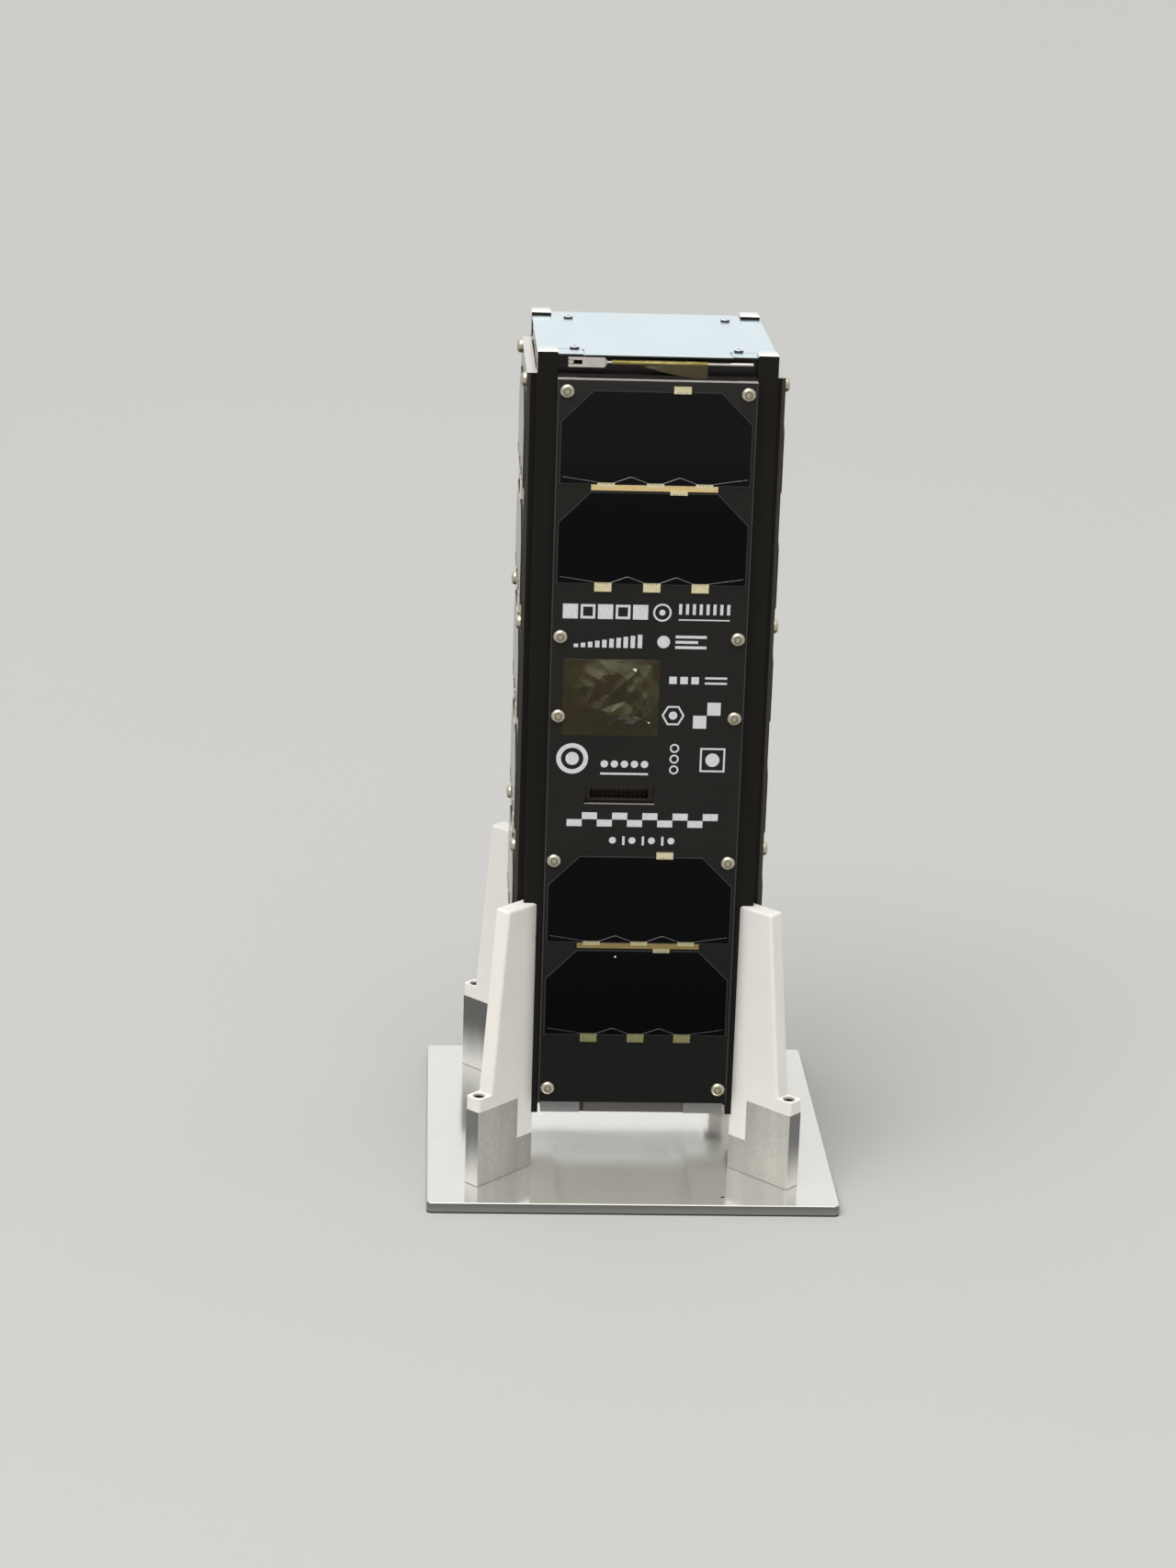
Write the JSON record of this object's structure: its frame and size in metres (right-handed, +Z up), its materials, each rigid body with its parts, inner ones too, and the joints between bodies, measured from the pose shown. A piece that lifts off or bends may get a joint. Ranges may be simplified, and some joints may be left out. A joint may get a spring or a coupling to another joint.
{
  "type": "three-unit cube satellite on a display stand",
  "caption": "Tall box-shaped small satellite with solar cells on each side face and folding rod antennas, standing in a post holder on a square metal plate.",
  "frame": {"origin": "middle of the underside of the stand's square base plate", "axes": "+Z up along the satellite's long axis, -Y out of the face with the access slot, +X to its right"},
  "size_m": [0.18, 0.18, 0.3712],
  "materials": {
    "base_aluminium": "brushed",
    "post_aluminium": "machined",
    "white_plastic": "matte",
    "black_anodised": "satin",
    "black_board": "satin",
    "solar_cell": "gloss",
    "gold_contact": "gold plate",
    "deck_film": "polished",
    "bay_board": "satin",
    "foot_metal": "satin",
    "stack_dark": "matte",
    "connector_dark": "matte",
    "antenna_silver": "satin",
    "hinge_steel": "satin"
  },
  "bodies": {
    "root": {"base_plate": "base_aluminium", "top_deck": "deck_film", "antenna_bay": "bay_board", "foot_plate": "foot_metal", "avionics_stack": "stack_dark", "access_connector": "connector_dark", "post_front_left": "post_aluminium", "tower_front_left": "white_plastic", "rail_front_left": "black_anodised", "post_front_right": "post_aluminium", "tower_front_right": "white_plastic", "rail_front_right": "black_anodised", "post_rear_right": "post_aluminium", "tower_rear_right": "white_plastic", "rail_rear_right": "black_anodised", "post_rear_left": "post_aluminium", "tower_rear_left": "white_plastic", "rail_rear_left": "black_anodised", "backing_plate_front": "black_anodised", "panel_board_front": "black_board", "solar_cells_front": "solar_cell", "cell_contacts_front": "gold_contact", "antenna_hinge_front": "hinge_steel", "backing_plate_right": "black_anodised", "panel_board_right": "black_board", "solar_cells_right": "solar_cell", "cell_contacts_right": "gold_contact", "antenna_hinge_right": "hinge_steel", "backing_plate_rear": "black_anodised", "panel_board_rear": "black_board", "solar_cells_rear": "solar_cell", "cell_contacts_rear": "gold_contact", "antenna_hinge_rear": "hinge_steel", "backing_plate_left": "black_anodised", "panel_board_left": "black_board", "solar_cells_left": "solar_cell", "cell_contacts_left": "gold_contact", "antenna_hinge_left": "hinge_steel"},
    "antenna_front": {"antenna_front": "antenna_silver"},
    "antenna_right": {"antenna_right": "antenna_silver"},
    "antenna_rear": {"antenna_rear": "antenna_silver"},
    "antenna_left": {"antenna_left": "antenna_silver"}
  },
  "joints": [
    {"name": "antenna_front_swing", "type": "hinge", "parent": "root", "child": "antenna_front", "pos_m": [-0.0362, -0.048, 0.3664], "axis": [0, 0, -1], "range_deg": [0, 90]},
    {"name": "antenna_right_swing", "type": "hinge", "parent": "root", "child": "antenna_right", "pos_m": [0.048, -0.0362, 0.3664], "axis": [0, 0, -1], "range_deg": [0, 90]},
    {"name": "antenna_rear_swing", "type": "hinge", "parent": "root", "child": "antenna_rear", "pos_m": [0.0362, 0.048, 0.3664], "axis": [0, 0, -1], "range_deg": [0, 90]},
    {"name": "antenna_left_swing", "type": "hinge", "parent": "root", "child": "antenna_left", "pos_m": [-0.048, 0.0362, 0.3664], "axis": [0, 0, -1], "range_deg": [0, 90]}
  ]
}
